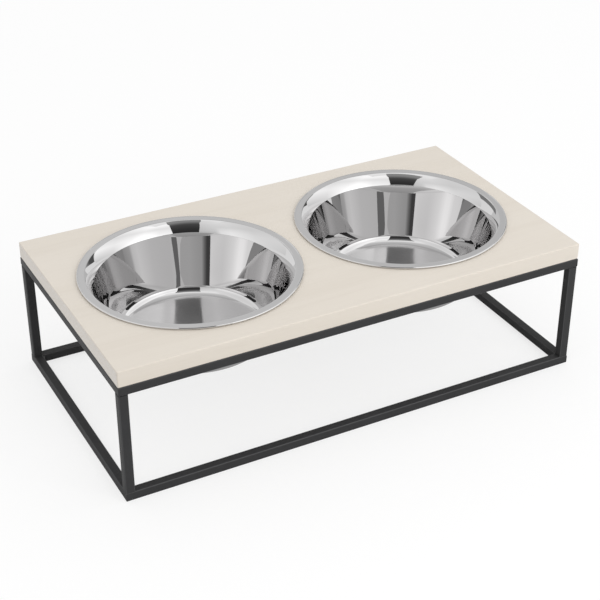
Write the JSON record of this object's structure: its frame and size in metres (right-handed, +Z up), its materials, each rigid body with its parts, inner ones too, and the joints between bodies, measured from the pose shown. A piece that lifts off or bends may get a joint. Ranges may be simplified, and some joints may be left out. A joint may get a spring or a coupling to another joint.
{
  "type": "elevated pet feeder",
  "caption": "Raised feeder: two lift-out polished steel bowls hang by their rims in a pale wooden board on a low open frame of black square tube.",
  "frame": {"origin": "on the floor, under the middle of the stand", "axes": "+X along the length from the left bowl to the right bowl, +Y from the front to the back, +Z up"},
  "size_m": [0.53, 0.285, 0.1547],
  "materials": {
    "board_wood": "whitewashed, smooth matt lacquer",
    "frame_black": "black powder coat, satin",
    "bowl_steel": "mirror-polished stainless steel",
    "screw_steel": "bright zinc plated"
  },
  "bodies": {
    "stand": {"board": "board_wood", "top_rail_front": "frame_black", "top_rail_back": "frame_black", "top_rail_left": "frame_black", "top_rail_right": "frame_black", "post_front_left": "frame_black", "post_front_right": "frame_black", "post_back_left": "frame_black", "post_back_right": "frame_black", "bottom_rail_front": "frame_black", "bottom_rail_back": "frame_black", "bottom_rail_left": "frame_black", "bottom_rail_right": "frame_black", "board_screw_1": "screw_steel", "board_screw_2": "screw_steel", "board_screw_3": "screw_steel", "board_screw_4": "screw_steel", "board_screw_5": "screw_steel", "board_screw_6": "screw_steel", "board_screw_7": "screw_steel", "board_screw_8": "screw_steel", "weld_beads_top": "frame_black", "weld_beads_bottom": "frame_black"},
    "left_bowl": {"left_bowl": "bowl_steel"},
    "right_bowl": {"right_bowl": "bowl_steel"}
  },
  "joints": [
    {"name": "left_bowl_lift", "type": "slide", "parent": "stand", "child": "left_bowl", "axis": [0, 0, 1], "range_m": [0, 0.1]},
    {"name": "right_bowl_lift", "type": "slide", "parent": "stand", "child": "right_bowl", "axis": [0, 0, 1], "range_m": [0, 0.1]}
  ]
}
